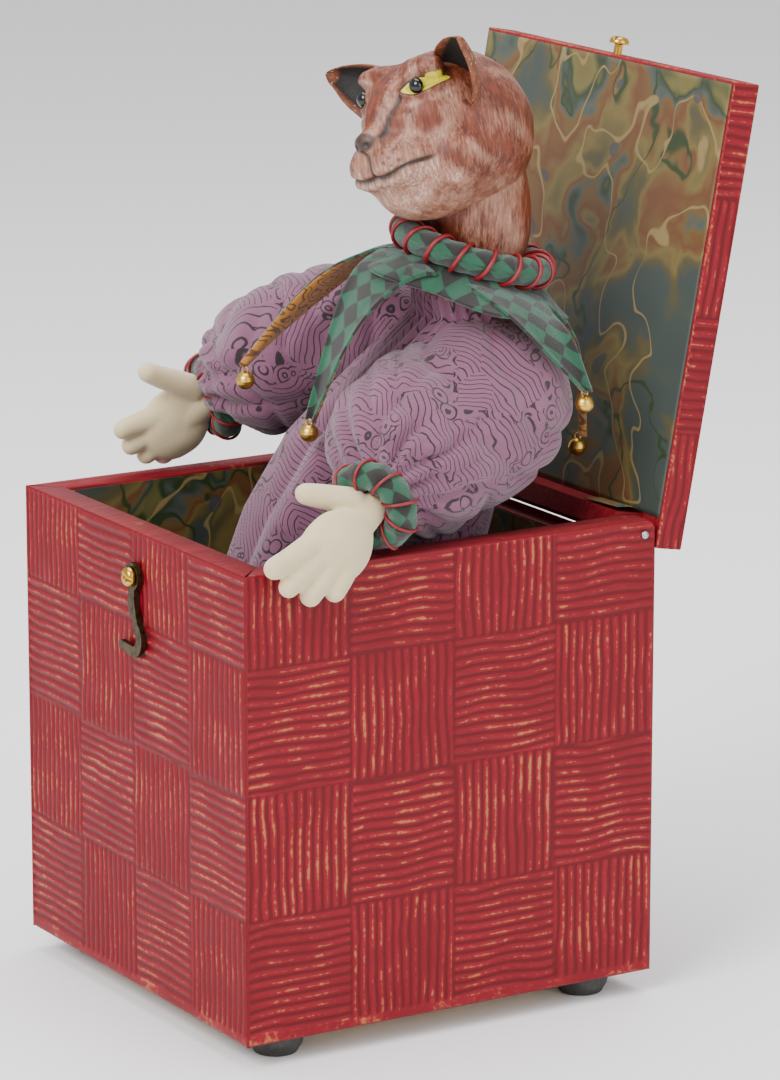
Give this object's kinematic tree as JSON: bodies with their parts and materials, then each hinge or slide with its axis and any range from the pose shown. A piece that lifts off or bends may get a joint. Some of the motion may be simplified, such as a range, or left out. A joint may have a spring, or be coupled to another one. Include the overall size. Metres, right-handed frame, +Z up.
{
  "type": "toy",
  "caption": "Combed red wooden jack in the box with a marbled paper lining, hooked pin-hinged lid and a cat puppet in a jester collar and smock on a spring",
  "frame": {"origin": "centre of the bottom board's underside, level with the lower edge of the walls; the feet hang below it", "axes": "+Z up; -Y out of the front, the face with the hook; +X to the puppet's left; the lid's pins run along X at the rear"},
  "size_m": [0.197, 0.2357, 0.3847],
  "materials": {
    "red_paint": "red milk paint over basswood, combed into ridges, satin",
    "marbled_paper": "marbled decorative paper pasted on, ochre, brown and slate swirls",
    "birch": "sanded birch plywood and dowel, unfinished",
    "steel": "bright zinc-plated or spring steel",
    "rubber": "black moulded rubber",
    "brass": "polished brass",
    "antique_brass": "darkened brass",
    "painted_cat": "cast resin head, brown ground dry-brushed with white, satin",
    "ear_leather": "brown leather, black inside",
    "eye_glass": "glossy black domes set in yellow painted eyes",
    "red_thread": "glossy red cord",
    "check_cotton": "green and black checked cotton, stuffed where it is rolled",
    "wave_cotton": "dusky pink cotton with a fine black wave line print",
    "cream_cotton": "cream brushed cotton, stuffed"
  },
  "bodies": {
    "box": {"front_wall": "red_paint", "left_wall": "red_paint", "right_wall": "red_paint", "rear_wall": "red_paint", "bottom_board": "birch", "foot_front_left": "rubber", "foot_screw_front_left": "steel", "foot_front_right": "rubber", "foot_screw_front_right": "steel", "foot_rear_left": "rubber", "foot_screw_rear_left": "steel", "foot_rear_right": "rubber", "foot_screw_rear_right": "steel", "lining_floor": "marbled_paper", "lining_front": "marbled_paper", "lining_rear": "marbled_paper", "lining_left": "marbled_paper", "lining_right": "marbled_paper", "hinge_pin_left": "steel", "hinge_pin_right": "steel", "hook_screw": "brass", "spring_block": "birch", "spring": "steel", "gown": "wave_cotton", "sleeve_left": "wave_cotton", "sleeve_right": "wave_cotton"},
    "lid": {"lid_board": "red_paint", "hinge_rail": "red_paint", "lid_lining": "marbled_paper", "catch_screw": "brass"},
    "hook": {"hook": "antique_brass"},
    "puppet": {"top_disc": "birch", "neck_dowel": "birch", "neck_screw": "steel", "head": "painted_cat", "ear_left": "ear_leather", "ear_right": "ear_leather", "eye_left": "eye_glass", "eye_right": "eye_glass", "collar_roll": "check_cotton", "collar_thread": "red_thread", "collar_flap_front_right": "check_cotton", "collar_flap_front_left": "check_cotton", "collar_flap_left": "check_cotton", "collar_flap_rear_left": "check_cotton", "collar_flap_rear_right": "check_cotton", "bell_front_right": "brass", "bell_front_left": "brass", "bell_left": "brass", "bell_rear_left": "brass", "bell_rear_right": "brass", "cuff_left": "check_cotton", "cuff_right": "check_cotton", "hand_left": "cream_cotton", "hand_right": "cream_cotton"}
  },
  "joints": [
    {"name": "lid_hinge", "type": "hinge", "parent": "box", "child": "lid", "pos_m": [0, 0.0868, 0.178], "axis": [1, 0, 0], "range_deg": [0, 100.6]},
    {"name": "hook_swing", "type": "hinge", "parent": "box", "child": "hook", "pos_m": [0.005, -0.0936, 0.16691], "axis": [0, 1, 0], "range_deg": [0, 164]},
    {"name": "puppet_slide", "type": "slide", "parent": "box", "child": "puppet", "axis": [-0.1395, -0.2511, -0.9579], "range_m": [0, 0.2151], "stiffness_N_per_m": 50, "springref_m": -0.15, "deforming": ["spring", "gown", "sleeve_left", "sleeve_right", "cuff_left", "cuff_right", "hand_left", "hand_right", "collar_flap_front_right", "collar_flap_front_left", "collar_flap_left", "collar_flap_rear_left", "collar_flap_rear_right", "bell_front_right", "bell_front_left", "bell_left", "bell_rear_left", "bell_rear_right"]}
  ],
  "couplings": [
    {"joint": "puppet_slide", "follows": "lid_hinge", "m_per_rad": 0.12251}
  ]
}
